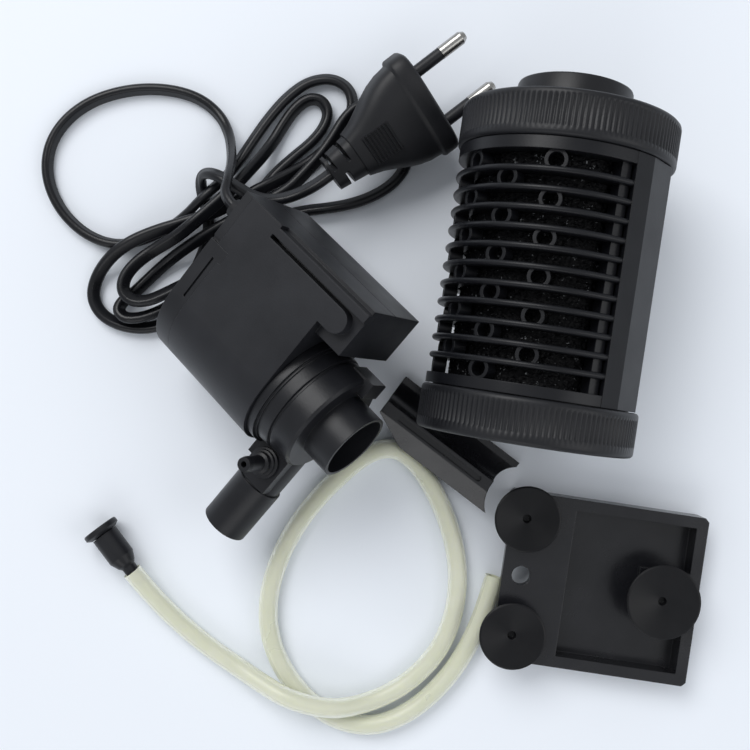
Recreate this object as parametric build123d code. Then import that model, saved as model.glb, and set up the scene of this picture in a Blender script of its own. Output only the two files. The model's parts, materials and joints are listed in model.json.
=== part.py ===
from build123d import *
import os
from math import cos, degrees, pi, radians, sin, tan

# Kit of a small fountain pump, laid out on a table: pump with its mains cord and plug,
# filter cartridge, suction-cup bracket, saddle clip and air tube.  Millimetres, +Z up.
# Every group is built in its own local frame and then set down on the table.

# ---------------------------------------------------------------- layout on the table
TABLE_SHIFT = (-19.7, 5.8, 0.0)        # moves the whole layout so that the origin is under its middle

PUMP_ORIGIN = (-48.6, 23.1, 19.1)     # rotor axis at the motor's rear face
PUMP_YAW = -45.3                      # heading of the rotor axis in plan
PUMP_PITCH = 18.3                     # the mouth points up by this much
PUMP_ROLL = 15.2                      # rail side up, round side down

FILTER_ORIGIN = (42.4, -19.0)         # axis at the bottom cap's outer face
FILTER_LEAN = 8.6                     # the axis leans this far from +Y towards +X

BRACKET_ORIGIN = (69.4, -65.9, 0.0)
BRACKET_TURN = -8.5

SADDLE_ORIGIN = (-8.0, -10.5, 0.0)
SADDLE_TURN = -37.4

PLUG_FACE = (16.3, 83.3, 16.6)        # middle of the plug's pin face
PLUG_TURN = 37.5                      # the pins point this way in plan
PLUG_ROLL = 28.0                      # the first pin is higher than the second

VALVE_ORIGIN = (-86.0, -47.5, 5.8)    # outer face of the air valve's knob
VALVE_TURN = -53.0

# ---------------------------------------------------------------- pump
BODY_R = 19.8                         # round side and half height of the motor
BODY_REAR = 2.0
BODY_FRONT = 39.7
BODY_DEEP_X = 21.0                    # the full height ends here
RAIL_X = 35.3                         # outer face of the rail side
RAIL_LOW = -15.8
RAIL_FRONT = 49.3
COVER_BACK = -0.8
WALL = 2.0
WELL_R = 8.4                          # rotor well, inside
WELL_WALL = 1.2
WELL_BOTTOM = 7.5
SHAFT_R = 1.25
RUN_GAP = 0.05                        # running clearance of every turning fit
MAGNET_R = 7.6
HUB_R = 3.0
IMPELLER_R = 12.3
VOLUTE_BACK = 39.8
VOLUTE_FRONT = 55.0
MOUTH_R = 10.75
MOUTH_BORE = 9.8
MOUTH_END = 64.2
OUTLET_Y = -5.2                       # height of the outlet's axis in the pump's frame
OUTLET_Z = 47.4
OUTLET_R = 7.2
OUTLET_NECK_R = 6.7                   # between the block and the spigot's shoulder
OUTLET_SHOULDER = -30.4
OUTLET_BORE = 5.4
OUTLET_END = -48.0
NIPPLE_X = -22.2
NIPPLE_R = 2.3
NIPPLE_TOP = 14.0

# ---------------------------------------------------------------- filter cartridge
CAP_R = 31.0
CAP_H = 12.7
CAP_POCKET_R = 28.4
CAGE_R = 30.2
CAGE_IN = 24.8
SPIGOT_R = 28.0
TOP_CAP_Z = 81.0
RING_COUNT = 11
RING_PITCH = 5.145
RING_FIRST = 20.97                    # middle of the lowest louvre ring
RING_T = 1.7
BAND_TOP = 77.5
BAND_LOW_END = 15.9
BOSS_R = 3.1
BOSS_HOLE = 2.1
BOSS_COLUMNS = 7
BOSS_FIRST_ANGLE = 77.0               # first column, measured from local +X
BOSS_STEP = 25.5
SPONGE_R = 24.4
SPONGE_BORE = 9.0
COLLAR_R = 16.5
COLLAR_BORE = 10.95
COLLAR_END = 102.3
RAIL_HALF = 26.4                      # half height of the side rail block

# ---------------------------------------------------------------- suction bracket
PLATE_X = 61.0
PLATE_Y = 52.4
PLATE_Z = 9.0
SKIN = 2.5
POCKET_X = (-10.5, 27.0)
POCKET_Y = 22.7
CUP_HOLE_R = 2.05
CUP_NECK_R = 2.0
SMALL_CUP_R = 10.1
LARGE_CUP_R = 11.3
CUPS = {"suction_cup_a": (-26.0, 18.4, SMALL_CUP_R),
        "suction_cup_b": (-25.4, -17.4, SMALL_CUP_R),
        "suction_cup_c": (18.5, -0.4, LARGE_CUP_R)}
HANG_HOLE = (-24.6, 0.4, 2.9)
KEY_TRAVEL = 5.0

# ---------------------------------------------------------------- cord and tube
CORD_D = 4.2
TUBE_D = 6.0
BEND_SHARE = 0.45
GLAND_XY = (26.0, 6.0)                # the cord leaves the rear cover here
GLAND_END = -9.0
SLEEVE_END = -37.5

# The mains cord from the gland to the plug, as its named lengths in order: a loose hank of
# four left and three right loops, closed by one turn of the cord round its middle.
CORD_LENGTHS = {
    "cord_loop_left": [
        (-43.6, 57.6, 23.2), (-43.2, 63.6, 16.8), (-44.2, 69.4, 9.8), (-45.6, 75.4, 4.4),
        (-48.5, 81.5, 2.1), (-54.0, 86.5, 2.1), (-61.5, 89.4, 2.1), (-71.0, 90.4, 2.1),
        (-80.5, 89.3, 2.1), (-89.5, 86.3, 2.1), (-97.0, 81.0, 2.1), (-102.0, 74.0, 2.1),
        (-103.7, 66.0, 2.1), (-102.2, 58.0, 2.1), (-98.0, 50.5, 2.1), (-91.5, 44.5, 2.1),
        (-84.0, 41.3, 2.1), (-76.5, 41.4, 2.1), (-68.5, 44.2, 2.1), (-60.5, 49.4, 2.4),
        (-53.4, 55.2, 7.8)],
    "cord_loop_tall": [
        (-47.0, 61.2, 5.4), (-42.6, 67.6, 2.3), (-38.2, 74.4, 2.1), (-33.4, 81.2, 2.1),
        (-27.8, 87.6, 2.1), (-21.2, 92.5, 2.1), (-13.8, 93.7, 2.1), (-8.2, 90.7, 2.1),
        (-6.6, 85.0, 2.1), (-8.9, 79.0, 2.1), (-13.4, 73.2, 2.1), (-19.6, 67.4, 2.1)],
    "cord_loop_outer": [
        (-27.0, 62.6, 4.2), (-35.0, 58.2, 6.9), (-43.0, 54.0, 6.6), (-51.0, 50.2, 6.6),
        (-59.5, 47.2, 7.0), (-68.0, 44.8, 6.9), (-76.2, 41.4, 6.8), (-82.8, 36.9, 5.2),
        (-87.7, 31.0, 2.4), (-89.2, 24.6, 2.1), (-86.4, 19.0, 2.1), (-80.4, 15.7, 2.1),
        (-73.5, 14.6, 2.1), (-66.6, 15.8, 2.1), (-60.0, 19.2, 2.1), (-54.8, 24.6, 2.1),
        (-51.0, 31.2, 2.1), (-47.8, 38.0, 2.1)],
    "cord_loop_inner": [
        (-44.6, 44.6, 2.1), (-41.0, 51.2, 2.1), (-36.6, 57.6, 2.1), (-31.8, 63.4, 2.1),
        (-26.0, 68.6, 2.1), (-20.2, 73.2, 2.1), (-16.2, 77.9, 2.1), (-14.6, 82.6, 2.1),
        (-16.6, 86.6, 2.1), (-20.9, 87.2, 2.1), (-25.2, 84.0, 2.1), (-28.6, 79.2, 2.1),
        (-31.6, 74.0, 2.5), (-35.2, 68.4, 4.8), (-39.4, 62.6, 8.6), (-44.2, 56.8, 11.0)],
    "cord_loop_middle": [
        (-50.0, 51.4, 11.3), (-56.0, 46.3, 11.1), (-62.0, 42.2, 9.0), (-68.2, 39.2, 6.8),
        (-74.0, 35.2, 6.6), (-77.8, 30.8, 6.6), (-78.6, 26.4, 6.8), (-75.8, 23.0, 7.2),
        (-70.6, 22.9, 7.4), (-65.4, 25.2, 7.0), (-59.6, 28.2, 6.6), (-52.8, 31.2, 6.6),
        (-46.0, 35.4, 6.4), (-40.6, 40.6, 3.2), (-35.6, 46.0, 2.1)],
    "cord_loop_plug": [
        (-29.4, 50.0, 2.1), (-22.6, 51.8, 2.1), (-15.0, 52.6, 2.1), (-7.4, 53.9, 2.1),
        (0.0, 56.6, 2.1), (6.4, 60.8, 2.1), (10.2, 66.6, 2.1), (10.4, 73.4, 2.1),
        (7.2, 79.6, 2.3), (1.6, 83.8, 4.2), (-4.6, 84.2, 6.3), (-9.2, 80.0, 6.6),
        (-12.4, 74.4, 6.6), (-16.4, 68.6, 6.6), (-21.4, 63.2, 6.6), (-26.6, 57.8, 6.6),
        (-33.2, 54.2, 6.6)],
    "cord_loop_back": [
        (-40.0, 50.4, 6.6), (-47.0, 46.8, 6.6), (-54.0, 42.8, 6.4), (-60.8, 38.6, 4.8),
        (-66.8, 34.4, 2.6), (-71.6, 30.0, 2.1), (-75.6, 26.2, 2.1), (-79.2, 23.6, 2.6),
        (-80.6, 20.4, 4.2), (-78.3, 17.8, 5.5), (-73.8, 17.7, 5.8), (-69.2, 19.2, 5.0),
        (-65.2, 21.4, 3.9), (-61.8, 24.6, 2.7),
        (-58.8, 29.0, 2.1), (-56.0, 34.6, 2.1), (-53.6, 40.4, 2.1)],
    "cord_lead": [
        (-52.2, 46.4, 2.1), (-53.2, 52.8, 2.1), (-54.9, 59.0, 2.7), (-53.6, 62.6, 7.9),
        (-48.4, 61.2, 13.8), (-42.6, 57.2, 16.0), (-35.8, 53.4, 14.4), (-29.4, 53.2, 13.6),
        (-23.4, 54.8, 14.6)],
}

# The air tube, from the air valve to its free end under the bracket.
TUBE_ROUTE = [
    (-75.8, -61.1, 5.8), (-71.4, -67.0, 4.6), (-65.6, -73.8, 3.2), (-58.6, -80.4, 3.0),
    (-51.0, -86.4, 3.0), (-43.0, -91.8, 3.2), (-35.4, -96.0, 6.0), (-27.8, -99.4, 9.6),
    (-19.6, -102.0, 9.8), (-11.2, -103.4, 8.2), (-2.6, -102.8, 4.0), (5.8, -99.6, 3.0),
    (13.6, -94.0, 3.0), (20.4, -86.2, 3.0), (24.6, -76.4, 3.0), (26.2, -65.6, 3.0),
    (25.4, -54.8, 3.0), (22.4, -44.4, 3.0), (18.0, -35.0, 3.0), (12.6, -26.8, 3.0),
    (5.4, -22.4, 3.0), (-2.8, -24.8, 3.0), (-10.6, -31.2, 3.0), (-18.2, -38.8, 3.0),
    (-25.0, -47.6, 3.0), (-30.2, -57.6, 3.0), (-33.4, -68.2, 3.0), (-33.8, -78.8, 3.0),
    (-31.0, -88.8, 3.0), (-25.6, -97.6, 3.0), (-18.4, -104.8, 3.0), (-9.6, -109.4, 3.0),
    (0.0, -110.4, 3.0), (9.2, -107.0, 3.0), (17.6, -100.8, 3.0), (25.0, -92.4, 3.0),
    (30.8, -82.6, 3.0), (34.8, -72.6, 3.0), (37.6, -63.4, 3.0),
]


# ---------------------------------------------------------------- helpers
def block(x, y, z):
    """Rectangular block between its low and high x, y and z."""
    middle = Pos((x[0] + x[1]) / 2, (y[0] + y[1]) / 2, (z[0] + z[1]) / 2)
    return middle * Box(x[1] - x[0], y[1] - y[0], z[1] - z[0])


def rod(radius, low, high):
    """Round bar along Z."""
    return Pos(0, 0, (low + high) / 2) * Cylinder(radius, high - low)


def pipe(outer, inner, low, high):
    """Round tube along Z."""
    return rod(outer, low, high) - rod(inner, low, high)


def turned(profile):
    """Solid of revolution about Z from (radius, z) points."""
    face = Plane.XZ * make_face(Polyline(*profile, close=True))
    return revolve(face, Axis.Z)


def upright(x, y, turn):
    """Local frame standing on the table."""
    return Pos(x, y, 0) * Rot(0, 0, turn)


def pump_location():
    """The pump's frame: Z along the rotor axis to the mouth, Y out of the flat top face."""
    yaw, pitch, roll = radians(PUMP_YAW), radians(PUMP_PITCH), radians(PUMP_ROLL)
    ahead = Vector(cos(yaw) * cos(pitch), sin(yaw) * cos(pitch), sin(pitch))
    level = Vector(-sin(yaw), cos(yaw), 0)
    top = ahead.cross(level)
    across = level * cos(roll) + top * sin(roll)
    return Plane(origin=PUMP_ORIGIN, x_dir=across, z_dir=ahead).location


def filter_location():
    """The filter's frame: Z along its axis to the top cap, Y up, X away from the rail."""
    lean = radians(FILTER_LEAN)
    axis = Vector(sin(lean), cos(lean), 0)
    away = Vector(-cos(lean), sin(lean), 0)
    return Plane(origin=(*FILTER_ORIGIN, CAP_R), x_dir=away, z_dir=axis).location


def plug_location():
    """The plug's frame: Z along the pins, X towards the higher pin."""
    turn, roll = radians(PLUG_TURN), radians(PLUG_ROLL)
    ahead = Vector(cos(turn), sin(turn), 0)
    width = Vector(-sin(turn) * cos(roll), cos(turn) * cos(roll), sin(roll))
    return Plane(origin=PLUG_FACE, x_dir=width, z_dir=ahead).location


def valve_location():
    """The air valve's frame: Z along its axis towards the tube."""
    turn = radians(VALVE_TURN)
    ahead = Vector(cos(turn), sin(turn), 0)
    return Plane(origin=VALVE_ORIGIN, x_dir=Vector(0, 0, 1), z_dir=ahead).location


# ---------------------------------------------------------------- motor
def body_block(inset, low, high):
    """The motor's outline, flat on top and round on one side, made smaller by inset."""
    radius = BODY_R - inset
    middle = block((0, BODY_DEEP_X - inset), (-radius, radius), (low, high))
    side = block((0, RAIL_X - inset), (RAIL_LOW + inset, radius), (low, high))
    return rod(radius, low, high) + middle + side


def motor_cavity():
    """Space inside the housing for the core, the coil and the resin."""
    room = rod(BODY_R - WALL, BODY_REAR, BODY_FRONT - WALL)
    room += block((0, BODY_DEEP_X - WALL), (WALL - BODY_R, BODY_R - WALL), (BODY_REAR, BODY_FRONT - WALL))
    room += block((0, RAIL_X - WALL), (RAIL_LOW + WALL, 13.6), (BODY_REAR, BODY_FRONT - WALL))
    room += block((22.5, RAIL_X - WALL), (RAIL_LOW + 2.4, 13.6), (BODY_FRONT - WALL, RAIL_FRONT - WALL))
    return room


def cover_skirt():
    """Rim of the rear cover that wraps the round side."""
    rim = body_block(0, BODY_REAR, 5.2) - body_block(1.2, BODY_REAR, 5.2)
    tab = block((15.0, 18.9), (BODY_R - 1.2, BODY_R), (BODY_REAR, 6.5))
    return (rim & block((-25, 18.9), (-25, 25), (0, 8))) + tab


def motor_housing():
    shell = body_block(0, BODY_REAR, BODY_FRONT)
    shell += block((20.0, RAIL_X), (RAIL_LOW, 16.2), (BODY_FRONT - 1, RAIL_FRONT))
    shell += block((23.5, 30.6), (15.5, BODY_R), (BODY_FRONT - 1, 43.5))
    shell += Pos(27.05, 0, 43.5) * Rot(-90, 0, 0) * (Pos(0, 0, 17.65) * Cylinder(3.5, 4.3))
    shell -= block((30.6, 31.8), (16.2, BODY_R), (13.4, RAIL_FRONT))
    shell -= block((34.3, RAIL_X), (16.2, BODY_R), (14.2, RAIL_FRONT))
    shell += block((31.8, 34.3), (16.2, BODY_R), (BODY_FRONT - 1, 50.2))
    shell -= block((RAIL_X - 0.3, RAIL_X), (2.0, 2.5), (BODY_REAR, RAIL_FRONT))
    shell -= motor_cavity()
    shell -= cover_skirt()
    shell += pipe(WELL_R + WELL_WALL, WELL_R, WELL_BOTTOM - WELL_WALL, BODY_FRONT - WALL)
    shell += rod(WELL_R, WELL_BOTTOM - WELL_WALL, WELL_BOTTOM)
    shell -= rod(WELL_R, WELL_BOTTOM, BODY_FRONT)
    return shell


def rear_cover():
    cover = body_block(0, COVER_BACK, BODY_REAR) + cover_skirt()
    cover -= block((1.0, 15.0), (BODY_R - 0.7, BODY_R), (3.1, 3.8))
    cover -= block((18.9, 20.0), (BODY_R - 0.6, BODY_R), (COVER_BACK, BODY_REAR))
    return cover - Pos(*GLAND_XY, 0) * rod(3.2, COVER_BACK, BODY_REAR)


def cord_gland():
    """Rubber strain relief that seals the cord in the rear cover."""
    sleeve = turned([(0, 3.0), (4.2, 3.0), (4.2, BODY_REAR), (3.2, BODY_REAR), (3.2, COVER_BACK),
                     (4.2, COVER_BACK), (4.0, -3.0), (3.0, GLAND_END), (0, GLAND_END)])
    return Pos(*GLAND_XY, 0) * sleeve


def stator_core():
    """Stack of laminations: two poles round the rotor well, joined by a back leg."""
    low, high = 11.0, 31.0
    core = block((-11, 30), (-13.0, 13.0), (low, high))
    core -= rod(WELL_R + WELL_WALL + 0.1, low, high)
    core -= block((-11, -5), (-3, 3), (low, high))
    core -= block((5, 14), (-3, 3), (low, high))
    return core - block((13, 24), (-8.0, 8.0), (low, high))


def coil_bobbin():
    """Plastic former round the core's back leg."""
    sleeve = block((23.0, 31.0), (-7.9, 7.9), (10.0, 32.0))
    for side in (-1, 1):
        sleeve += block((19.0, 33.0), sorted((side * 6.9, side * 7.9)), (6.5, 35.5))
    return sleeve - block((24, 30), (-8, 8), (11, 31))


def coil_winding():
    """Enamelled copper wire wound on the bobbin."""
    wire = block((19.4, 32.9), (-6.9, 6.9), (6.8, 35.2))
    return wire - block((23.0, 31.0), (-6.9, 6.9), (10.0, 32.0))


def resin_fill():
    """Potting resin that seals core and coil in the housing."""
    fill = motor_cavity() & block((-25, 40), (-25, 25), (4.0, RAIL_FRONT))
    fill -= rod(WELL_R + WELL_WALL, 0, BODY_FRONT)
    fill -= block((-11, 30), (-13.0, 13.0), (11.0, 31.0))
    fill -= block((19.0, 33.0), (-7.9, 7.9), (6.5, 35.5))
    return fill


# ---------------------------------------------------------------- rotor and wet end
def rotor_shaft():
    return rod(SHAFT_R, WELL_BOTTOM, 53.0)


def rear_bush():
    return pipe(3.6, SHAFT_R, WELL_BOTTOM, 9.3)


def front_bush():
    return pipe(2.4, SHAFT_R + RUN_GAP, 49.6, 53.0)


def rotor_magnet():
    return pipe(MAGNET_R, HUB_R, 10.0, 36.0)


def impeller():
    """Open impeller with its hub running through the magnet."""
    wheel = rod(HUB_R, 9.6, 48.4) + rod(MAGNET_R, 36.0, 37.0) + rod(IMPELLER_R, 41.2, 42.6)
    for count in range(6):
        blade = block((2.4, IMPELLER_R), (-0.6, 0.6), (42.4, 47.6))
        wheel += Rot(0, 0, count * 60) * blade
    return wheel - rod(SHAFT_R + RUN_GAP, 9.6, 48.4)


def seal_ring():
    return pipe(17.0, 15.6, VOLUTE_BACK, 41.2)


def volute_cover():
    """Front cover with the mouth, the side outlet, its block for the nipple, and the lugs."""
    shell = turned([(0, VOLUTE_BACK), (18.7, VOLUTE_BACK), (18.7, 42.3), (17.9, 42.3), (17.9, 43.0),
                    (17.4, 43.0), (17.2, 46.7), (16.5, 46.9), (16.5, 47.5), (16.9, 47.7),
                    (16.7, 54.2), (15.9, VOLUTE_FRONT), (0, VOLUTE_FRONT)])
    shell += rod(MOUTH_R, VOLUTE_FRONT, MOUTH_END)
    outlet = Pos(0, OUTLET_Y, OUTLET_Z) * Rot(0, -90, 0)
    shell += outlet * rod(OUTLET_NECK_R, 13.0, -OUTLET_SHOULDER)
    shell += outlet * rod(OUTLET_R, -OUTLET_SHOULDER, -OUTLET_END)
    shell += block((-29.5, -14.0), (-9.0, 2.0), (42.3, 53.0))
    shell += block((12.2, 17.2), (-7.0, 2.5), (49.5, 57.4)) & rod(18.2, 49.5, 57.4)
    shell += block((-24.5, -17.0), (-6.5, -0.5), (VOLUTE_BACK, 42.2))
    shell -= rod(14.5, VOLUTE_BACK, 49.4)
    shell -= rod(MOUTH_BORE, 49.4, MOUTH_END)
    shell -= pipe(17.0, 15.6, VOLUTE_BACK, 41.2)
    shell -= outlet * rod(OUTLET_BORE, 11.0, -OUTLET_END)
    shell -= Pos(NIPPLE_X, 0, OUTLET_Z) * Rot(-90, 0, 0) * rod(1.6, OUTLET_Y, 2.0)
    shell += rod(3.6, 49.6, 52.6)
    for count in range(3):
        arm = block((3.0, MOUTH_BORE + 0.4), (-0.8, 0.8), (50.2, 52.2))
        shell += Rot(0, 0, 30 + count * 120) * arm
    return shell - rod(2.4, 49.6, 52.6)


def venturi_nipple():
    """Stepped air nipple pressed into the outlet block."""
    stem = turned([(0.9, 0.4), (1.6, 0.4), (1.6, 2.0), (4.6, 2.0), (4.6, 2.9), (3.9, 3.1), (3.9, 3.9),
                   (3.2, 4.1), (3.2, 5.6), (NIPPLE_R, 6.0), (NIPPLE_R, NIPPLE_TOP - 1.6),
                   (NIPPLE_R - 0.3, NIPPLE_TOP), (0.9, NIPPLE_TOP)])
    return Pos(NIPPLE_X, 0, OUTLET_Z) * Rot(-90, 0, 0) * stem


# ---------------------------------------------------------------- filter cartridge
def filter_cap(low, high, pocket):
    """Screw cap: a plain drum with softened rims; pocket is the z range open to the cage."""
    soft = 1.2
    drum = turned([(0, low), (CAP_R - soft, low), (CAP_R, low + soft), (CAP_R, high - soft),
                   (CAP_R - soft, high), (0, high)])
    return drum - rod(CAP_POCKET_R, *pocket)


def bottom_cap():
    return filter_cap(0, CAP_H, (2.6, CAP_H))


def top_cap():
    high = TOP_CAP_Z + CAP_H
    cap = filter_cap(TOP_CAP_Z, high, (TOP_CAP_Z, high - 2.6))
    cap += turned([(0, high), (COLLAR_R, high), (COLLAR_R, COLLAR_END - 0.8),
                   (COLLAR_R - 0.8, COLLAR_END), (0, COLLAR_END)])
    return cap - rod(COLLAR_BORE, TOP_CAP_Z, COLLAR_END)


def louvre_ring(middle):
    """One thin ring of the cage with a rounded outer edge."""
    half = RING_T / 2
    edge = Polyline((CAGE_R - half, middle + half), (CAGE_IN, middle + half), (CAGE_IN, middle - half),
                    (CAGE_R - half, middle - half))
    nose = ThreePointArc((CAGE_R - half, middle - half), (CAGE_R, middle), (CAGE_R - half, middle + half))
    return revolve(Plane.XZ * make_face(edge + nose), Axis.Z)


def rail_prism(low, high):
    """The rail side's outline, with its flat outer faces, as a full prism."""
    corner = 22.5
    half_flat = 13.5
    side = Polyline((-15.0, RAIL_HALF), (-20.3, corner), (-27.4, half_flat), (-27.4, -half_flat),
                    (-20.3, -corner), (-15.0, -RAIL_HALF), (-10.0, 0), close=True)
    return Pos(0, 0, low) * extrude(make_face(side), high - low)


def rail_block(low, high):
    """Solid side wall of the cage with a flat outer face and a slot for the saddle clip."""
    wall = rail_prism(low, high)
    wall -= rod(CAGE_IN, low, high)
    return wall - block((-27.4, -26.2), (-4.0, 4.0), (low, high))


def boss(angle, middle):
    """Short radial tube that ties two neighbouring rings together."""
    reach = CAGE_R - 1.6 - CAGE_IN
    ring = Cylinder(BOSS_R, reach) - Cylinder(BOSS_HOLE, reach)
    place = Rot(0, 0, angle) * Pos(CAGE_IN + 0.3 + reach / 2, 0, middle) * Rot(0, 90, 0)
    band = pipe(CAGE_R, CAGE_IN, middle - RING_PITCH / 2, middle + RING_PITCH / 2)
    return (place * ring) & band


def filter_cage():
    low, high = CAP_H + 0.2, TOP_CAP_Z - 0.2
    cage = pipe(CAGE_R, CAGE_IN, low, BAND_LOW_END) + pipe(CAGE_R, CAGE_IN, BAND_TOP, high)
    for count in range(RING_COUNT):
        cage += louvre_ring(RING_FIRST + count * RING_PITCH)
    cage &= block((-15.0, CAGE_R), (-CAGE_R, CAGE_R), (low, high)) + rail_prism(low, high)
    cage += rail_block(low, high)
    cage += pipe(SPIGOT_R, CAGE_IN, 3.0, low) + pipe(SPIGOT_R, CAGE_IN, high, TOP_CAP_Z + 9.8)
    for side in (-1, 1):
        rib = Rot(0, 0, 180 + side * 63.5) * block((CAGE_IN, 28.4), (-1.6, 1.6), (BAND_LOW_END - 1, BAND_TOP + 1))
        cage += rib & pipe(28.4, CAGE_IN, BAND_LOW_END - 1, BAND_TOP + 1)
    for column in range(BOSS_COLUMNS):
        angle = BOSS_FIRST_ANGLE - column * BOSS_STEP
        for gap in range((column + 1) % 2, RING_COUNT + 1, 2):
            cage += boss(angle, RING_FIRST + (gap - 0.5) * RING_PITCH)
    return cage


def filter_sponge():
    return pipe(SPONGE_R, SPONGE_BORE, 3.0, TOP_CAP_Z + 9.8)


# ---------------------------------------------------------------- suction bracket
def bracket_plate():
    half_x, half_y = PLATE_X / 2, PLATE_Y / 2
    tray = block((-half_x, half_x), (-half_y, half_y), (0, PLATE_Z))
    tray = chamfer(tray.edges().filter_by(Axis.Z), 1.2)
    tray -= block((POCKET_X[0], POCKET_X[1]), (-POCKET_Y, POCKET_Y), (2.2, PLATE_Z))
    tray -= block((-half_x, POCKET_X[0] - 2.0), (-half_y + 2.0, half_y - 2.0), (0, PLATE_Z - SKIN))
    tray += block((11.4, 28.0), (-8.4, 8.4), (PLATE_Z - SKIN, PLATE_Z))
    tray -= Pos(*HANG_HOLE[:2], 0) * rod(HANG_HOLE[2], 0, PLATE_Z)
    for name in ("suction_cup_a", "suction_cup_b"):
        tray -= Pos(CUPS[name][0], CUPS[name][1], 0) * rod(CUP_HOLE_R, PLATE_Z - SKIN, PLATE_Z)
    return tray - keyhole(CUPS["suction_cup_c"])


def keyhole(cup):
    """Slot that the third cup's neck slides along, with a wide end for its head."""
    x, y = cup[:2]
    low, high = PLATE_Z - SKIN, PLATE_Z
    slot = Pos(x, y, 0) * rod(CUP_HOLE_R, low, high)
    slot += block((x - KEY_TRAVEL, x), (y - CUP_HOLE_R, y + CUP_HOLE_R), (low, high))
    return slot + Pos(x - KEY_TRAVEL, y, 0) * rod(3.5, low, high)


def suction_cup(x, y, rim):
    """Soft cup facing up, held by a head under the plate."""
    top, under = PLATE_Z + RUN_GAP, PLATE_Z - SKIN - RUN_GAP
    profile = [(0, under - 2.6), (2.6, under - 2.6), (3.2, under - 1.4), (3.2, under), (CUP_NECK_R, under),
               (CUP_NECK_R, top), (4.4, top), (4.8, top + 1.2), (rim - 1.0, top + 4.4), (rim, top + 5.2),
               (rim, top + 5.6), (rim - 0.5, top + 5.8), (1.3, top + 4.0), (1.0, top + 2.2), (0, top + 2.2)]
    return Pos(x, y, 0) * turned(profile)


# ---------------------------------------------------------------- saddle clip
def saddle_clip():
    """Trough-shaped clip with a slotted ridge, lying on its thin lip."""
    start, end = 8.0, 53.0
    outline = Polyline((16.6, 2.4), (18.8, 2.5), (18.8, 0.1), (15.6, 0.1), (11.4, 3.4), (9.0, 8.6),
                       (5.8, 8.6), (0, 6.7), (0, 8.6), (5.6, 11.0), (9.3, 11.0))
    trough = ThreePointArc((9.3, 11.0), (12.0, 5.2), (16.6, 2.4))
    section = Plane(origin=(start, 0, 0), x_dir=(0, 1, 0), z_dir=(1, 0, 0)) * make_face(outline + trough)
    clip = extrude(section, end - start)
    clip -= Pos(59.5, 8.6, 0) * rod(10.75, -1, 15)
    clip -= Pos(start, 5.0, 0) * Rot(0, 0, -23.5) * block((-8, 14), (-9, 0), (-1, 15))
    slot = block((14.0, 44.4), (6.4, 8.2), (9.7, 11.0)) + Pos(44.4, 7.3, 0) * rod(0.9, 9.7, 11.0)
    return clip - slot


# ---------------------------------------------------------------- plug
def plug_body():
    """Flat moulded plug: narrow at the cord, wide at the pin face."""
    sections = []
    for back, width, height in ((0, 34.0, 15.0), (-6, 34.0, 15.6), (-13, 30.0, 15.6), (-21, 21.0, 14.0),
                                (-28, 14.5, 11.6)):
        sections.append(Pos(0, 0, back) * RectangleRounded(width, height, 5.2))
    return loft(Sketch() + sections)


def plug_sleeve():
    """Ribbed strain relief moulded on the cord end of the plug."""
    sleeve = Pos(0, 0, -28) * extrude(RectangleRounded(13.6, 10.6, 4.6), SLEEVE_END + 28, taper=8)
    for count, side in enumerate((1, -1, 1)):
        sleeve -= block(sorted((side * 1.2, side * 7.5)), (-6, 6), (-31.6 - 2.4 * count, -30.4 - 2.4 * count))
    return sleeve


def pin_sleeves():
    """Insulated lower parts of both pins."""
    sleeves = [Pos(side * 8.9, 0, 0) * rod(1.9, 0, 10.0) for side in (1, -1)]
    return Compound(children=sleeves)


def contact_pins():
    pins = []
    for side in (1, -1):
        pin = turned([(0, 10.0), (2.0, 10.0), (2.0, 17.6), (1.2, 19.0), (0, 19.0)])
        pins.append(Pos(side * 8.9, 0, 0) * pin)
    return Compound(children=pins)


# ---------------------------------------------------------------- air valve
def valve_body():
    """Air valve with a barb that the tube is pushed over."""
    return turned([(2.65, 2.7), (4.15, 2.7), (4.15, 11.6), (3.0, 14.2), (2.2, 15.2), (2.2, 17.0), (2.0, 17.0),
                   (2.3, 19.0), (1.9, 22.0), (0.9, 22.0), (0.9, 10.4), (2.65, 10.4)])


def valve_knob():
    """Flanged knob whose stem turns in the body to set the air flow."""
    knob = turned([(0, 0), (5.4, 0), (5.7, 0.4), (5.7, 1.6), (4.4, 2.4), (2.6, 2.6), (2.6, 9.6), (0, 9.6)])
    return knob - rod(0.9, 0, 9.6)


# ---------------------------------------------------------------- cords
def bend_radii(points):
    """Radius of the arc at each inner point: 0.45 of the shorter run over tan of half the turn."""
    radii = []
    for before, here, after in zip(points, points[1:], points[2:]):
        run_in, run_out = Vector(*here) - Vector(*before), Vector(*after) - Vector(*here)
        turn = radians(run_in.get_angle(run_out))
        radii.append(BEND_SHARE * min(run_in.length, run_out.length) / tan(turn / 2))
    return radii


def swept_tube(points, radii, diameter):
    """Round tube along straight runs joined by tangent arcs."""
    path = FilletPolyline(*points, radius=radii)
    start = Plane(origin=path @ 0, z_dir=path % 0)
    tube = sweep(start * Circle(diameter / 2), path=path)
    section = pi * (diameter / 2) ** 2
    print(f"   length {path.length:.1f} mm, volume / (section x length) {tube.volume / section / path.length:.4f}")
    return tube


def midpoint(first, second):
    return tuple((a + b) / 2 for a, b in zip(first, second))


def cord_ends():
    """First points from the gland's face and last points to the plug's strain relief."""
    gland, plug = pump_location(), plug_location()
    start = [tuple((gland * Pos(*GLAND_XY, z)).position) for z in (GLAND_END, GLAND_END - 5)]
    end = [tuple((plug * Pos(0, 0, z)).position) for z in (SLEEVE_END - 5, SLEEVE_END)]
    return start, end


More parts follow.
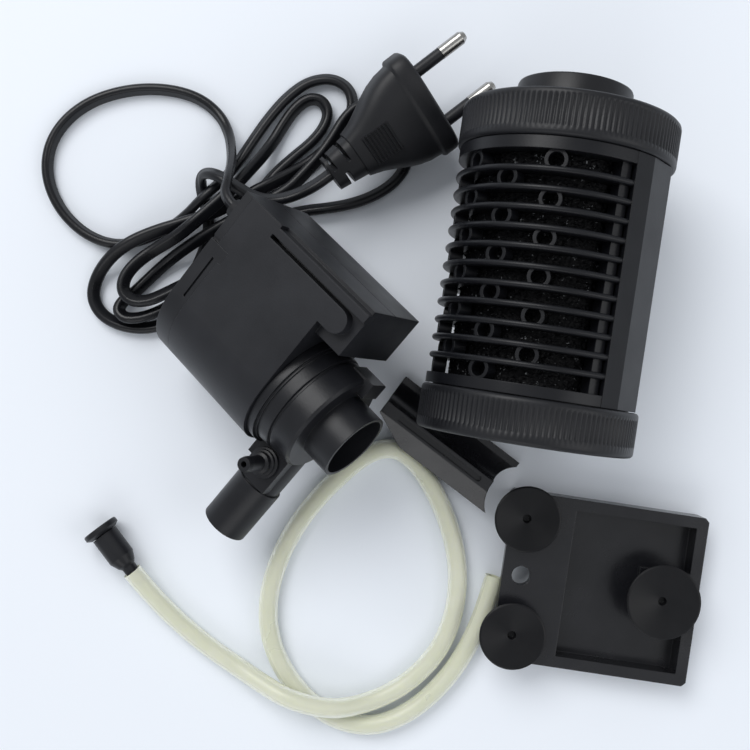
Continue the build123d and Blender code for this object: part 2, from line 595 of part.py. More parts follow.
def cord_nodes():
    """The mains cord in its named lengths, which meet face to face."""
    start, end = cord_ends()
    lengths = {name: list(points) for name, points in CORD_LENGTHS.items()}
    lengths["cord_loop_left"] = start + lengths["cord_loop_left"]
    lengths["cord_lead"] = lengths["cord_lead"] + end
    route = [point for points in lengths.values() for point in points]
    radii = bend_radii(route)
    print("cord ends", start, end)
    print("cord arc radii", [round(r, 1) for r in radii])
    nodes, first = {}, 0
    for name, points in lengths.items():
        last = first + len(points)
        path = list(points)
        if first > 0:
            path = [midpoint(route[first - 1], route[first])] + path
        if last < len(route):
            path = path + [midpoint(route[last - 1], route[last])]
        arcs = radii[max(first - 1, 0):min(last, len(route) - 1) - 1]
        print(name)
        nodes[name] = swept_tube(path, arcs, CORD_D)
        first = last
    return nodes


def air_tube():
    radii = bend_radii(TUBE_ROUTE)
    print("tube arc radii", [round(r, 1) for r in radii])
    tube = swept_tube(TUBE_ROUTE, radii, TUBE_D)
    return tube - valve_location() * rod(2.35, 16.5, 22.0)


# ---------------------------------------------------------------- the whole kit
def kit():
    pump, cartridge, plug = pump_location(), filter_location(), plug_location()
    bracket = upright(*BRACKET_ORIGIN[:2], BRACKET_TURN)
    saddle = upright(*SADDLE_ORIGIN[:2], SADDLE_TURN)
    valve = valve_location()
    nodes = {}
    for make in (motor_housing, rear_cover, cord_gland, stator_core, coil_bobbin, coil_winding, resin_fill,
                 rotor_shaft, rear_bush, front_bush, rotor_magnet, impeller, seal_ring, volute_cover,
                 venturi_nipple):
        nodes[make.__name__] = pump * make()
    for make in (bottom_cap, top_cap, filter_cage, filter_sponge):
        nodes[make.__name__] = cartridge * make()
    nodes["bracket_plate"] = bracket * bracket_plate()
    for name, cup in CUPS.items():
        nodes[name] = bracket * suction_cup(*cup)
    nodes["saddle_clip"] = saddle * saddle_clip()
    for make in (plug_body, plug_sleeve, pin_sleeves, contact_pins):
        nodes[make.__name__] = plug * make()
    for make in (valve_body, valve_knob):
        nodes[make.__name__] = valve * make()
    nodes["air_tube"] = air_tube()
    nodes.update(cord_nodes())
    return nodes


os.makedirs("parts", exist_ok=True)
for node_name, solid in kit().items():
    export_step(Pos(*TABLE_SHIFT) * solid, f"parts/{node_name}.step")
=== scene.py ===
"""Fountain pump kit laid out on a pale table.

The solids of the frame get their materials. The screw caps, the foam, the plug's shell, the cord and
the air tube are made anew here with finer shapes. Lengths are in mm in the table layout, as in the
CAD, and at() turns them into metres.
"""
import json
from math import atan, cos, pi, radians, sin

import bpy
from mathutils import Matrix, Vector, noise


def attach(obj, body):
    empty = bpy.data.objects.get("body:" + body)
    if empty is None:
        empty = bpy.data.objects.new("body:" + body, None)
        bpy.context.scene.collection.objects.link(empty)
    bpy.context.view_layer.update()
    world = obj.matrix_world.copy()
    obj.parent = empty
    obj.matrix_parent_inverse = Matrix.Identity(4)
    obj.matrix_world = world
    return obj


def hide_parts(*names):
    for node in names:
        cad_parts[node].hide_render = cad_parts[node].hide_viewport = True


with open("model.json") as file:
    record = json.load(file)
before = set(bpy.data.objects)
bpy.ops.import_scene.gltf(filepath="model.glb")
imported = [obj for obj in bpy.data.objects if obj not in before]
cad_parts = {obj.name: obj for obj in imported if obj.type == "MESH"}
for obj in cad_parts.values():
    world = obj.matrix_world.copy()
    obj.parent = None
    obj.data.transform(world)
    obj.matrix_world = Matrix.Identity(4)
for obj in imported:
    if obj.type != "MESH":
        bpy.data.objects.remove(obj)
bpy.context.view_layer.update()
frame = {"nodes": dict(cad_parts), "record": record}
nodes = frame["nodes"]

MM = 0.001
TABLE_SHIFT = Vector((-19.7, 5.8, 0.0))     # same shift of the layout as in the CAD


def at(x, y, z):
    """Point of the table layout, in metres in the row frame."""
    return (Vector((x, y, z)) + TABLE_SHIFT) * MM


# ---------------------------------------------------------------- camera, floor and light
CAMERA_HEIGHT = 328
HALF_VIEW = 0.36295                         # tangent of half the view angle
FLOOR_HALF = 3.0                            # metres


def make_camera():
    """The view looks straight down on the layout from close by."""
    data = bpy.data.cameras.new("photo_camera")
    camera = bpy.data.objects.new("photo_camera", data)
    bpy.context.scene.collection.objects.link(camera)
    camera.location = at(0, 0, CAMERA_HEIGHT)
    data.sensor_width = 36.0
    data.angle = 2 * atan(HALF_VIEW)
    data.clip_start = 0.01
    bpy.context.scene.camera = camera


def make_floor():
    """Plain pale table top."""
    mesh = bpy.data.meshes.new("floor")
    half = FLOOR_HALF
    corners = [(-half, -half, 0), (half, -half, 0), (half, half, 0), (-half, half, 0)]
    mesh.from_pydata(corners, [], [(0, 1, 2, 3)])
    floor = bpy.data.objects.new("floor", mesh)
    bpy.context.scene.collection.objects.link(floor)
    material, shader, _ = new_material("floor_pale")
    shader.inputs["Base Color"].default_value = (0.83, 0.87, 0.93, 1)
    shader.inputs["Roughness"].default_value = 0.9
    shader.inputs["Specular IOR Level"].default_value = 0.1
    mesh.materials.append(material)


def area_light(name, place, target, size, power, colour=(1, 1, 1)):
    data = bpy.data.lights.new(name, "AREA")
    data.shape = "RECTANGLE"
    data.size, data.size_y = size
    data.energy = power
    data.color = colour
    lamp = bpy.data.objects.new(name, data)
    bpy.context.scene.collection.objects.link(lamp)
    lamp.location = place
    lamp.rotation_euler = (Vector(target) - Vector(place)).to_track_quat("-Z", "Y").to_euler()


def make_light():
    """A soft studio: a broad light behind and to the left, two weaker ones and a pale surround."""
    area_light("key", (-0.55, 0.85, 1.10), (0, 0, 0), (1.0, 0.8), 13.0)
    area_light("fill", (1.00, -0.2, 0.9), (0, 0, 0), (0.8, 0.9), 3.2)
    area_light("front", (-0.3, -1.05, 0.85), (0, 0, 0), (1.1, 0.6), 2.8)
    world = bpy.data.worlds.new("studio")
    world.use_nodes = True
    surround = world.node_tree.nodes["Background"].inputs
    surround["Color"].default_value = (0.93, 0.96, 1.0, 1)
    surround["Strength"].default_value = 0.50
    bpy.context.scene.world = world
    bpy.context.scene.view_settings.view_transform = "Standard"


# ---------------------------------------------------------------- material building
def new_material(name):
    """A material with its shader and the position input that its textures share."""
    material = bpy.data.materials.new(name)
    material.use_nodes = True
    tree = material.node_tree
    shader = tree.nodes["Principled BSDF"]
    place = tree.nodes.new("ShaderNodeTexCoord").outputs["Object"]
    return material, shader, place


def noise_node(tree, place, scale, detail=3.0, rough=0.55):
    """Noise factor; scale is in cells per metre."""
    node = tree.nodes.new("ShaderNodeTexNoise")
    node.inputs["Scale"].default_value = scale
    node.inputs["Detail"].default_value = detail
    node.inputs["Roughness"].default_value = rough
    tree.links.new(place, node.inputs["Vector"])
    return node.outputs["Fac"]


def ramp(tree, fac, stops):
    """Colour ramp with (position, colour) stops."""
    node = tree.nodes.new("ShaderNodeValToRGB")
    ends = node.color_ramp.elements
    while len(ends) < len(stops):
        ends.new(0.5)
    for end, (position, colour) in zip(ends, stops):
        end.position = position
        end.color = (*colour, 1)
    tree.links.new(fac, node.inputs["Fac"])
    return node.outputs["Color"]


def spread(tree, fac, low, high):
    """The factor's middle range spread over low to high."""
    node = tree.nodes.new("ShaderNodeMapRange")
    node.inputs["From Min"].default_value = 0.3
    node.inputs["From Max"].default_value = 0.7
    node.inputs["To Min"].default_value = low
    node.inputs["To Max"].default_value = high
    tree.links.new(fac, node.inputs["Value"])
    return node.outputs["Result"]


def soft_edge(tree, radius):
    """Normal that rounds sharp edges by radius, in metres."""
    node = tree.nodes.new("ShaderNodeBevel")
    node.samples = 4
    node.inputs["Radius"].default_value = radius
    return node.outputs["Normal"]


def bump(tree, height, distance, normal=None):
    """Normal with the height's relief, distance metres deep, over the given normal."""
    node = tree.nodes.new("ShaderNodeBump")
    node.inputs["Distance"].default_value = distance
    node.inputs["Strength"].default_value = 1.0
    tree.links.new(height, node.inputs["Height"])
    if normal is not None:
        tree.links.new(normal, node.inputs["Normal"])
    return node.outputs["Normal"]


def plastic(name, colour, rough, grain=1800, grain_depth=0.02, edge=0.35, blotch=0.12, wave=0.0,
            gloss=0.32):
    """Moulded plastic or rubber: mottled tone, uneven gloss, fine grain and soft edges.

    grain_depth, edge and wave are in mm: the grain's relief, the rounding of edges and a slow swell.
    """
    material, shader, place = new_material(name)
    tree = material.node_tree
    large = noise_node(tree, place, 60, 4, 0.6)
    fine = noise_node(tree, place, grain, 2, 0.5)
    dark = [channel * (1 - blotch) for channel in colour]
    light = [channel * (1 + 2 * blotch) for channel in colour]
    tree.links.new(ramp(tree, large, [(0.3, dark), (0.72, light)]), shader.inputs["Base Color"])
    tree.links.new(spread(tree, large, rough - 0.05, rough + 0.07), shader.inputs["Roughness"])
    shader.inputs["Specular IOR Level"].default_value = gloss
    normal = soft_edge(tree, edge * MM)
    if wave:
        normal = bump(tree, noise_node(tree, place, 90, 2, 0.4), wave * MM, normal)
    normal = bump(tree, fine, grain_depth * MM, normal)
    tree.links.new(normal, shader.inputs["Normal"])
    return material


def metal(name, colour, rough, brushed=0.01):
    """Bare metal with faint scratches, brushed mm deep."""
    material, shader, place = new_material(name)
    tree = material.node_tree
    shader.inputs["Metallic"].default_value = 1.0
    scratch = noise_node(tree, place, 900, 6, 0.7)
    tone = [(0.25, [c * 0.9 for c in colour]), (0.75, colour)]
    tree.links.new(ramp(tree, scratch, tone), shader.inputs["Base Color"])
    tree.links.new(spread(tree, scratch, rough - 0.04, rough + 0.08), shader.inputs["Roughness"])
    normal = bump(tree, scratch, brushed * MM, soft_edge(tree, 0.2 * MM))
    tree.links.new(normal, shader.inputs["Normal"])
    return material


def clear_tube():
    """Soft translucent tube, slightly yellow."""
    material, shader, place = new_material("clear_tube")
    tree = material.node_tree
    cloud = noise_node(tree, place, 60, 3, 0.5)
    tone = [(0.3, (0.76, 0.78, 0.62)), (0.7, (0.83, 0.84, 0.70))]
    tree.links.new(ramp(tree, cloud, tone), shader.inputs["Base Color"])
    tree.links.new(spread(tree, cloud, 0.26, 0.34), shader.inputs["Roughness"])
    shader.inputs["Transmission Weight"].default_value = 0.25
    shader.inputs["Subsurface Weight"].default_value = 0.35
    shader.inputs["Subsurface Radius"].default_value = (0.003, 0.003, 0.002)
    shader.inputs["IOR"].default_value = 1.4
    normal = bump(tree, noise_node(tree, place, 500, 2, 0.5), 0.01 * MM)
    tree.links.new(normal, shader.inputs["Normal"])
    return material


def foam():
    """Open-cell foam: black, with sparse flecks of painted glint, light grey colour standing in for
    highlights on cell walls.
    """
    material, shader, place = new_material("foam")
    tree = material.node_tree
    painted_glint_noise = noise_node(tree, place, 750, 3, 0.7)
    hollow = (0.0022, 0.0022, 0.0028)
    wall = (0.0035, 0.0035, 0.0045)
    painted_glint = (0.26, 0.27, 0.28)
    # The top end of the noise paints light grey glints into the base colour: painted highlights.
    tone = [(0.0, hollow), (0.64, wall), (0.69, painted_glint)]
    tree.links.new(ramp(tree, painted_glint_noise, tone), shader.inputs["Base Color"])
    shader.inputs["Roughness"].default_value = 0.5
    shader.inputs["Specular IOR Level"].default_value = 0.12
    cells = tree.nodes.new("ShaderNodeTexVoronoi")
    cells.feature = "DISTANCE_TO_EDGE"
    cells.inputs["Scale"].default_value = 800
    tree.links.new(place, cells.inputs["Vector"])
    tree.links.new(bump(tree, cells.outputs["Distance"], 0.4 * MM), shader.inputs["Normal"])
    return material


def make_materials():
    """One material for each slot of the record."""
    charcoal = (0.0115, 0.0122, 0.0150)
    black = (0.0062, 0.0066, 0.0085)
    return {
        "housing_plastic": plastic("housing_plastic", charcoal, 0.40),
        "cover_plastic": plastic("cover_plastic", (0.010, 0.0106, 0.0130), 0.40),
        "volute_plastic": plastic("volute_plastic", (0.0085, 0.0090, 0.0112), 0.36),
        "cap_plastic": plastic("cap_plastic", (0.0095, 0.0099, 0.0120), 0.42, edge=0.2),
        "cage_plastic": plastic("cage_plastic", black, 0.34, edge=0.3, gloss=0.28),
        "bracket_plastic": plastic("bracket_plastic", (0.0085, 0.0088, 0.0110), 0.24,
                                   wave=0.25, edge=0.4, gloss=0.55),
        "cup_rubber": plastic("cup_rubber", (0.0058, 0.0060, 0.0072), 0.36,
                              grain=2600, gloss=0.22),
        "soft_rubber": plastic("soft_rubber", black, 0.55),
        "cord_pvc": plastic("cord_pvc", (0.0075, 0.0080, 0.0100), 0.28, grain=1200),
        "plug_pvc": plastic("plug_pvc", (0.0100, 0.0104, 0.0125), 0.45,
                            grain=1500, grain_depth=0.03),
        "nickel": metal("nickel", (0.42, 0.41, 0.39), 0.22),
        "clear_pvc": clear_tube(),
        "foam": foam(),
        "ceramic": plastic("ceramic", (0.80, 0.79, 0.75), 0.2, blotch=0.03),
        "ferrite": plastic("ferrite", (0.09, 0.09, 0.10), 0.5),
        "impeller_plastic": plastic("impeller_plastic", (0.55, 0.57, 0.60), 0.35, blotch=0.05),
        "lamination_steel": metal("lamination_steel", (0.45, 0.46, 0.48), 0.4),
        "pale_plastic": plastic("pale_plastic", (0.75, 0.74, 0.70), 0.45, blotch=0.04),
        "copper_wire": metal("copper_wire", (0.72, 0.34, 0.18), 0.3),
        "potting_resin": plastic("potting_resin", (0.02, 0.02, 0.022), 0.3),
    }


def paint(piece, material):
    """The piece's only material."""
    piece.data.materials.clear()
    piece.data.materials.append(material)


def add_piece(name, data, body, material):
    """New piece on a CAD body with its material."""
    piece = bpy.data.objects.new(name, data)
    bpy.context.scene.collection.objects.link(piece)
    paint(piece, material)
    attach(piece, body)
    return piece


# ---------------------------------------------------------------- filter cartridge
# Its frame, as in the CAD: Z along its axis to the top cap, Y up, X away from the rail.
FILTER_ORIGIN = (42.4, -19.0, 31.0)
FILTER_LEAN = 8.6
CAP_R = 31.0
CAP_H = 12.7
CAP_POCKET_R = 28.4
CAP_FLOOR = 2.6
CAP_SOFT = 1.2                              # width of the rounded rims
TOP_CAP_Z = 81.0
COLLAR_R = 16.5
COLLAR_BORE = 10.95
COLLAR_END = 102.3
COLLAR_SOFT = 0.8
RIB_COUNT = 126
RIB_DEPTH = 0.40
RIB_STEPS = 8                               # points round the cap for each rib
RIB_FADE = 0.5                              # height over which a rib runs out
LOWER_RIB_GAPS = (3.0, 1.9)                 # plain bands below and above the lower cap's ribs
UPPER_RIB_GAPS = (2.4, 1.7)
SPONGE_R = 24.4
SPONGE_BORE = 9.9
SPONGE_LOW = 3.0
SPONGE_HIGH = 90.8
SPONGE_ROWS = 230
SPONGE_STEPS = 400
PIT_MIDDLE = 0.45                           # mean depth of the foam's pits, and how far they vary
PIT_SWING = 0.40


def filter_frame():
    """Matrix from the filter's own mm to metres on the table."""
    lean = radians(FILTER_LEAN)
    axis = Vector((sin(lean), cos(lean), 0))
    away = Vector((-cos(lean), sin(lean), 0))
    turn = Matrix((away, axis.cross(away), axis)).transposed()
    return Matrix.Translation(at(*FILTER_ORIGIN)) @ turn.to_4x4() @ Matrix.Scale(MM, 4)


def rim(high, edge):
    """Rounded corner from the drum's side, at height high - edge, in to its flat face at high.

    A negative edge rounds a lower face, with the side above it.
    """
    points = []
    for step in range(4):
        angle = radians(30 * step)
        points.append((CAP_R - CAP_SOFT * (1 - cos(angle)), high - edge * (1 - sin(angle)), 0))
    return points


def ribbed_side(low, high):
    """Side of the drum with its grip ribs fading out at both ends: (radius, height, rib share)."""
    full_low, full_high = low + RIB_FADE, high - RIB_FADE
    return [(CAP_R, low, 0), (CAP_R, full_low, 1), (CAP_R, full_high, 1), (CAP_R, high, 0)]


def revolved(name, rings, steps, radius_at, closed):
    """Mesh of rings about Z; a closed profile meets itself, an open one ends in flat discs."""
    vertices = []
    for ring in rings:
        for step in range(steps):
            angle = 2 * pi * step / steps
            radius = radius_at(ring, angle)
            vertices.append((radius * cos(angle), radius * sin(angle), ring[1]))
    faces = []
    count = len(rings)
    for ring in range(count if closed else count - 1):
        here, after = ring * steps, (ring + 1) % count * steps
        for step in range(steps):
            side = (step + 1) % steps
            faces.append((here + step, here + side, after + side, after + step))
    if not closed:
        faces.append(tuple(reversed(range(steps))))
        faces.append(tuple(range((count - 1) * steps, count * steps)))
    data = bpy.data.meshes.new(name)
    data.from_pydata(vertices, [], faces)
    data.transform(filter_frame())
    data.shade_smooth()
    data.set_sharp_from_angle(angle=radians(38))
    return data


def ribbed_radius(ring, angle):
    """Radius of a cap's side, drawn in between its ribs by the ring's rib share."""
    groove = 0.5 - 0.5 * cos(RIB_COUNT * angle)
    return ring[0] - RIB_DEPTH * ring[2] * groove ** 1.5


def make_caps(materials):
    """Both screw caps, with fine grip ribs round their sides."""
    steps = RIB_COUNT * RIB_STEPS
    below, above = LOWER_RIB_GAPS
    lower = list(reversed(rim(0, -CAP_SOFT))) + ribbed_side(below, CAP_H - above) + rim(CAP_H, CAP_SOFT)
    lower += [(CAP_POCKET_R, CAP_H, 0), (CAP_POCKET_R, CAP_FLOOR, 0)]
    data = revolved("lower_cap_ribbed", lower, steps, ribbed_radius, False)
    piece = add_piece("lower_cap_ribbed", data, "lower_cap", materials["cap_plastic"])
    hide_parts("bottom_cap")

    high = TOP_CAP_Z + CAP_H
    ceiling = high - CAP_FLOOR
    below, above = UPPER_RIB_GAPS
    upper = [(COLLAR_BORE, ceiling, 0), (CAP_POCKET_R, ceiling, 0), (CAP_POCKET_R, TOP_CAP_Z, 0)]
    upper += list(reversed(rim(TOP_CAP_Z, -CAP_SOFT))) + ribbed_side(TOP_CAP_Z + below, high - above)
    upper += rim(high, CAP_SOFT)
    bulge = 0.25
    upper += [
        (COLLAR_R, high, 0),
        (COLLAR_R, COLLAR_END - COLLAR_SOFT, 0),
        (COLLAR_R - bulge, COLLAR_END - bulge, 0),
        (COLLAR_R - COLLAR_SOFT, COLLAR_END, 0),
        (COLLAR_BORE, COLLAR_END, 0),
    ]
    data = revolved("upper_cap_ribbed", upper, steps, ribbed_radius, True)
    piece = add_piece("upper_cap_ribbed", data, "upper_cap", materials["cap_plastic"])
    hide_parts("top_cap")


def foam_radius(ring, angle):
    """Pitted cell surface of the foam, never outside the plain sponge."""
    radius, height = ring
    place = Vector((radius * cos(angle), radius * sin(angle), height))
    pits = noise.noise(place * 1.1) + 0.6 * noise.noise(place * 2.6)
    return radius - PIT_MIDDLE + PIT_SWING * max(-1, min(1, pits))


def make_sponge(materials):
    """Foam tube inside the cage, with its pitted outside."""
    rise = SPONGE_HIGH - SPONGE_LOW
    rings = [(SPONGE_R, SPONGE_LOW + rise * row / SPONGE_ROWS) for row in range(SPONGE_ROWS + 1)]
    rings += [(SPONGE_BORE, SPONGE_HIGH), (SPONGE_BORE, SPONGE_LOW)]
    data = revolved("sponge_cells", rings, SPONGE_STEPS, foam_radius, True)
    piece = add_piece("sponge_cells", data, "cartridge", materials["foam"])
    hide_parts("filter_sponge")


# ---------------------------------------------------------------- plug
# Its frame, as in the CAD: Z along the pins, X towards the higher pin.
PLUG_FACE = (16.3, 83.3, 16.6)
PLUG_TURN = 37.5
PLUG_ROLL = 28.0
# Stations from the pin face to the cord end: (Z, width, thickness).
PLUG_STATIONS = [
    (0.0, 31.6, 13.0), (-0.5, 33.0, 14.6), (-1.2, 33.8, 15.2), (-5.2, 33.8, 15.4), (-5.7, 33.2, 15.2),
    (-6.1, 31.6, 14.4), (-7.0, 31.2, 14.4), (-10.0, 30.4, 14.8), (-13.5, 28.2, 15.0), (-17.0, 24.8, 14.8),
    (-20.5, 20.8, 14.0), (-24.0, 17.2, 12.8), (-28.0, 14.5, 11.6),
]
PLUG_SECTION_POINTS = 72
GRIP_CENTRE = -20.2                         # middle of the ribbed thumb patch along the plug
GRIP_RIBS = 8
GRIP_PITCH = 1.15
GRIP_WIDTH = 9.4
GRIP_ROOT = 1.6                             # how deep a rib is set into the shell
GRIP_RISE = 0.45                            # how far it stands out
GRIP_SEAT = 7.75                            # the shell's half thickness up to GRIP_BEND
GRIP_BEND = 16.0
GRIP_SLOPE = 0.13                           # how fast the seat falls beyond it


def plug_frame():
    """Matrix from the plug's own mm to metres on the table."""
    turn, roll = radians(PLUG_TURN), radians(PLUG_ROLL)
    ahead = Vector((cos(turn), sin(turn), 0))
    width = Vector((-sin(turn) * cos(roll), cos(turn) * cos(roll), sin(roll)))
    axes = Matrix((width, ahead.cross(width), ahead)).transposed()
    return Matrix.Translation(at(*PLUG_FACE)) @ axes.to_4x4() @ Matrix.Scale(MM, 4)


def squarish(half_x, half_y, angle, power=3.2):
    """Point of a rounded rectangle, as a superellipse."""
    c, s = cos(angle), sin(angle)
    reach = (abs(c) ** power + abs(s) ** power) ** (-1 / power)
    return half_x * c * reach, half_y * s * reach


def make_plug_shell(materials):
    """Moulded shell: a shouldered face that tapers to the cord."""
    vertices, faces = [], []
    count = PLUG_SECTION_POINTS
    for height, width, depth in PLUG_STATIONS:
        for step in range(count):
            x, y = squarish(width / 2, depth / 2, 2 * pi * step / count)
            vertices.append((x, y, height))
    for ring in range(len(PLUG_STATIONS) - 1):
        for step in range(count):
            side = (step + 1) % count
            here, after = ring * count, (ring + 1) * count
            faces.append((after + step, after + side, here + side, here + step))
    faces.append(tuple(range(count)))
    faces.append(tuple(reversed(range(len(vertices) - count, len(vertices)))))
    data = bpy.data.meshes.new("plug_shell")
    data.from_pydata(vertices, [], faces)
    data.transform(plug_frame())
    data.shade_smooth()
    data.set_sharp_from_angle(angle=radians(50))
    piece = add_piece("plug_shell", data, "pump", materials["plug_pvc"])
    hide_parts("plug_body")
    return piece


def make_plug_grip(materials):
    """Ribbed thumb patch on both broad sides of the plug."""
    vertices, faces = [], []
    half = GRIP_PITCH * 0.36
    crest = half * 0.4
    for side in (1, -1):
        for rib in range(GRIP_RIBS):
            middle = GRIP_CENTRE + (rib - (GRIP_RIBS - 1) / 2) * GRIP_PITCH
            seat = GRIP_SEAT - GRIP_SLOPE * max(0.0, -middle - GRIP_BEND)
            root, top = seat - GRIP_ROOT, seat + GRIP_RISE
            lower_side = [(root, -half), (seat, -half), (top, -crest)]
            outline = lower_side + [(y, -z) for y, z in reversed(lower_side)]
            start = len(vertices)
            for x in (-GRIP_WIDTH / 2, GRIP_WIDTH / 2):
                for y, z in outline:
                    vertices.append((x, side * y, middle + z))
            faces.append(tuple(start + k for k in range(6)))
            faces.append(tuple(start + 6 + k for k in reversed(range(6))))
            for k in range(6):
                after = (k + 1) % 6
                faces.append((start + after, start + k, start + 6 + k, start + 6 + after))
    data = bpy.data.meshes.new("plug_grip")
    data.from_pydata(vertices, [], faces)
    data.transform(plug_frame())
    return add_piece("plug_grip", data, "pump", materials["plug_pvc"])


# ---------------------------------------------------------------- cord and tube
# The mains cord, as in the CAD: a loose hank of four left and three right loops, closed by
# one turn of the cord round its middle.  Each length states how far its flat section leans.
CORD_LENGTHS = [
    (20, [
        (-40.68, 48.53, 28.24), (-44.02, 51.90, 26.67),
        (-43.6, 57.6, 23.2), (-43.2, 63.6, 16.8), (-44.2, 69.4, 9.8), (-45.6, 75.4, 4.4),
        (-48.5, 81.5, 2.1), (-54.0, 86.5, 2.1), (-61.5, 89.4, 2.1), (-71.0, 90.4, 2.1),
        (-80.5, 89.3, 2.1), (-89.5, 86.3, 2.1), (-97.0, 81.0, 2.1), (-102.0, 74.0, 2.1),
        (-103.7, 66.0, 2.1), (-102.2, 58.0, 2.1), (-98.0, 50.5, 2.1), (-91.5, 44.5, 2.1),
        (-84.0, 41.3, 2.1), (-76.5, 41.4, 2.1), (-68.5, 44.2, 2.1), (-60.5, 49.4, 2.4),
        (-53.4, 55.2, 7.8)]),
    (35, [
        (-47.0, 61.2, 5.4), (-42.6, 67.6, 2.3), (-38.2, 74.4, 2.1), (-33.4, 81.2, 2.1),
        (-27.8, 87.6, 2.1), (-21.2, 92.5, 2.1), (-13.8, 93.7, 2.1), (-8.2, 90.7, 2.1),
        (-6.6, 85.0, 2.1), (-8.9, 79.0, 2.1), (-13.4, 73.2, 2.1), (-19.6, 67.4, 2.1)]),
    (50, [
        (-27.0, 62.6, 4.2), (-35.0, 58.2, 6.9), (-43.0, 54.0, 6.6), (-51.0, 50.2, 6.6),
        (-59.5, 47.2, 7.0), (-68.0, 44.8, 6.9), (-76.2, 41.4, 6.8), (-82.8, 36.9, 5.2),
        (-87.7, 31.0, 2.4), (-89.2, 24.6, 2.1), (-86.4, 19.0, 2.1), (-80.4, 15.7, 2.1),
        (-73.5, 14.6, 2.1), (-66.6, 15.8, 2.1), (-60.0, 19.2, 2.1), (-54.8, 24.6, 2.1),
        (-51.0, 31.2, 2.1), (-47.8, 38.0, 2.1)]),
    (30, [
        (-44.6, 44.6, 2.1), (-41.0, 51.2, 2.1), (-36.6, 57.6, 2.1), (-31.8, 63.4, 2.1),
        (-26.0, 68.6, 2.1), (-20.2, 73.2, 2.1), (-16.2, 77.9, 2.1), (-14.6, 82.6, 2.1),
        (-16.6, 86.6, 2.1), (-20.9, 87.2, 2.1), (-25.2, 84.0, 2.1), (-28.6, 79.2, 2.1),
        (-31.6, 74.0, 2.5), (-35.2, 68.4, 4.8), (-39.4, 62.6, 8.6), (-44.2, 56.8, 11.0)]),
    (50, [
        (-50.0, 51.4, 11.3), (-56.0, 46.3, 11.1), (-62.0, 42.2, 9.0), (-68.2, 39.2, 6.8),
        (-74.0, 35.2, 6.6), (-77.8, 30.8, 6.6), (-78.6, 26.4, 6.8), (-75.8, 23.0, 7.2),
        (-70.6, 22.9, 7.4), (-65.4, 25.2, 7.0), (-59.6, 28.2, 6.6), (-52.8, 31.2, 6.6),
        (-46.0, 35.4, 6.4), (-40.6, 40.6, 3.2), (-35.6, 46.0, 2.1)]),
    (40, [
        (-29.4, 50.0, 2.1), (-22.6, 51.8, 2.1), (-15.0, 52.6, 2.1), (-7.4, 53.9, 2.1),
        (0.0, 56.6, 2.1), (6.4, 60.8, 2.1), (10.2, 66.6, 2.1), (10.4, 73.4, 2.1),
        (7.2, 79.6, 2.3), (1.6, 83.8, 4.2), (-4.6, 84.2, 6.3), (-9.2, 80.0, 6.6),
        (-12.4, 74.4, 6.6), (-16.4, 68.6, 6.6), (-21.4, 63.2, 6.6), (-26.6, 57.8, 6.6),
        (-33.2, 54.2, 6.6)]),
    (35, [
        (-40.0, 50.4, 6.6), (-47.0, 46.8, 6.6), (-54.0, 42.8, 6.4), (-60.8, 38.6, 4.8),
        (-66.8, 34.4, 2.6), (-71.6, 30.0, 2.1), (-75.6, 26.2, 2.1), (-79.2, 23.6, 2.6),
        (-80.6, 20.4, 4.2), (-78.3, 17.8, 5.5), (-73.8, 17.7, 5.8), (-69.2, 19.2, 5.0),
        (-65.2, 21.4, 3.9), (-61.8, 24.6, 2.7), (-58.8, 29.0, 2.1), (-56.0, 34.6, 2.1),
        (-53.6, 40.4, 2.1)]),
    (45, [
        (-52.2, 46.4, 2.1), (-53.2, 52.8, 2.1), (-54.9, 59.0, 2.7), (-53.6, 62.6, 7.9),
        (-48.4, 61.2, 13.8), (-42.6, 57.2, 16.0), (-35.8, 53.4, 14.4), (-29.4, 53.2, 13.6),
        (-23.4, 54.8, 14.6), (-17.42, 57.43, 16.6), (-13.45, 60.47, 16.6)]),
]
CORD_NODES = ["cord_loop_left", "cord_loop_tall", "cord_loop_outer", "cord_loop_inner",
              "cord_loop_middle", "cord_loop_plug", "cord_loop_back", "cord_lead"]
CORD_WIDTH = 4.2
CORD_THICKNESS = 2.9
CORD_WAIST = 0.72                           # thickness at the groove, as a share

# The air tube, from the air valve to its free end under the bracket, as in the CAD.
TUBE_ROUTE = [
    (-75.8, -61.1, 5.8), (-71.4, -67.0, 4.6), (-65.6, -73.8, 3.2), (-58.6, -80.4, 3.0),
    (-51.0, -86.4, 3.0), (-43.0, -91.8, 3.2), (-35.4, -96.0, 6.0), (-27.8, -99.4, 9.6),
    (-19.6, -102.0, 9.8), (-11.2, -103.4, 8.2), (-2.6, -102.8, 4.0), (5.8, -99.6, 3.0),
    (13.6, -94.0, 3.0), (20.4, -86.2, 3.0), (24.6, -76.4, 3.0), (26.2, -65.6, 3.0),
    (25.4, -54.8, 3.0), (22.4, -44.4, 3.0), (18.0, -35.0, 3.0), (12.6, -26.8, 3.0),
    (5.4, -22.4, 3.0), (-2.8, -24.8, 3.0), (-10.6, -31.2, 3.0), (-18.2, -38.8, 3.0),
    (-25.0, -47.6, 3.0), (-30.2, -57.6, 3.0), (-33.4, -68.2, 3.0), (-33.8, -78.8, 3.0),
    (-31.0, -88.8, 3.0), (-25.6, -97.6, 3.0), (-18.4, -104.8, 3.0), (-9.6, -109.4, 3.0),
    (0.0, -110.4, 3.0), (9.2, -107.0, 3.0), (17.6, -100.8, 3.0), (25.0, -92.4, 3.0),
    (30.8, -82.6, 3.0), (34.8, -72.6, 3.0), (37.6, -63.4, 3.0),
]
TUBE_RADIUS = 3.0
TUBE_WALL = 1.0
TUBE_SIDES = 28


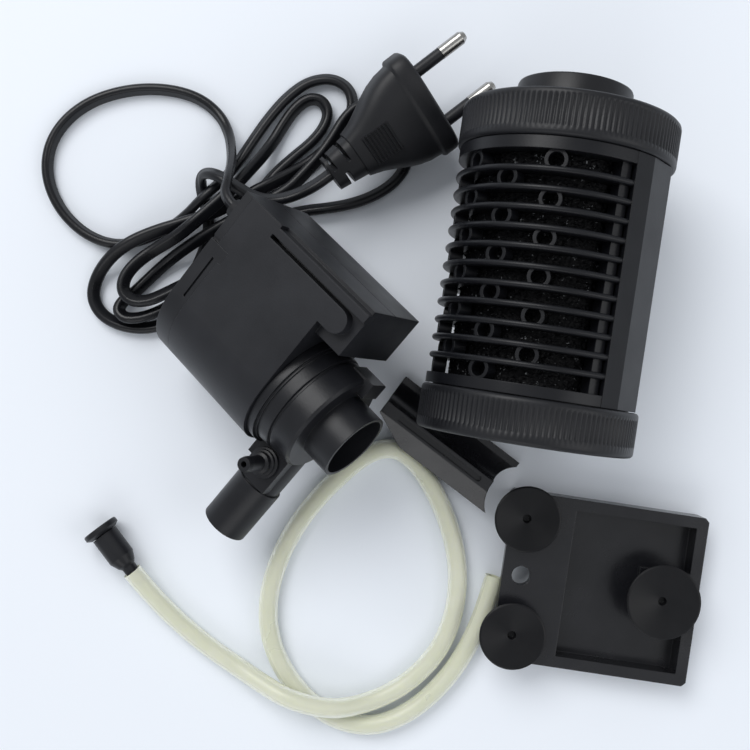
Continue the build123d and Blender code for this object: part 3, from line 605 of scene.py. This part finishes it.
def smooth_curve(name, points, leans):
    """NURBS curve with the route's points as its control points."""
    data = bpy.data.curves.new(name, "CURVE")
    data.dimensions = "3D"
    data.resolution_u = 8
    data.twist_mode = "Z_UP"
    spline = data.splines.new("NURBS")
    spline.points.add(len(points) - 1)
    for control, point, lean in zip(spline.points, points, leans):
        control.co = (*at(*point), 1)
        control.tilt = radians(lean)
    spline.order_u = 3
    spline.use_endpoint_u = True
    return data


def section(name, loops):
    """Hidden curve object that holds the closed outlines of a section, in mm."""
    data = bpy.data.curves.new(name, "CURVE")
    data.dimensions = "2D"
    for points in loops:
        spline = data.splines.new("POLY")
        spline.points.add(len(points) - 1)
        for control, (x, y) in zip(spline.points, points):
            control.co = (x * MM, y * MM, 0, 1)
        spline.use_cyclic_u = True
    profile = bpy.data.objects.new(name, data)
    bpy.context.scene.collection.objects.link(profile)
    profile.hide_render = True
    profile.hide_viewport = True
    return profile


def tube_profile():
    """Section of the air tube: its outer and inner wall."""
    walls = []
    for radius, way in ((TUBE_RADIUS, 1), (TUBE_RADIUS - TUBE_WALL, -1)):
        angles = [way * 2 * pi * step / TUBE_SIDES for step in range(TUBE_SIDES)]
        walls.append([(radius * cos(angle), radius * sin(angle)) for angle in angles])
    return section("tube_profile", walls)


def flat_profile():
    """Section of a flat two-core cord: two round lobes with a groove between them."""
    half, radius = CORD_WIDTH / 2, CORD_THICKNESS / 2
    centre = half - radius
    waist = radius * CORD_WAIST
    points = []
    for side in (1, -1):
        for step in range(-4, 5):
            angle = radians(18 * step + (90 if side > 0 else 270))
            points.append((radius * cos(angle), side * centre + radius * sin(angle)))
        points.append((-side * waist, 0))
    return section("cord_profile", [points])


def make_cord(materials, plug_pieces):
    """The mains cord in one piece, from the motor to the plug."""
    points = [point for _, length in CORD_LENGTHS for point in length]
    leans = [lean for lean, length in CORD_LENGTHS for _ in length]
    data = smooth_curve("mains_cord", points, leans)
    data.bevel_mode = "OBJECT"
    data.bevel_object = flat_profile()
    piece = add_piece("mains_cord", data, "pump", materials["cord_pvc"])
    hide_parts(*CORD_NODES)


def make_tube(materials):
    """The air tube, from its valve to the free end under the bracket."""
    data = smooth_curve("soft_air_tube", TUBE_ROUTE, [0] * len(TUBE_ROUTE))
    data.bevel_mode = "OBJECT"
    data.bevel_object = tube_profile()
    piece = add_piece("soft_air_tube", data, "pump", materials["clear_pvc"])
    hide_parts("air_tube")


# ---------------------------------------------------------------- the whole scene
make_camera()
make_floor()
make_light()
materials = make_materials()
slots = {entry["node"]: entry["material_slot"] for entry in frame["record"]["subparts"]}
for name, node in nodes.items():
    paint(node, materials[slots[name]])
make_caps(materials)
make_sponge(materials)
make_cord(materials, [make_plug_shell(materials), make_plug_grip(materials)])
make_tube(materials)
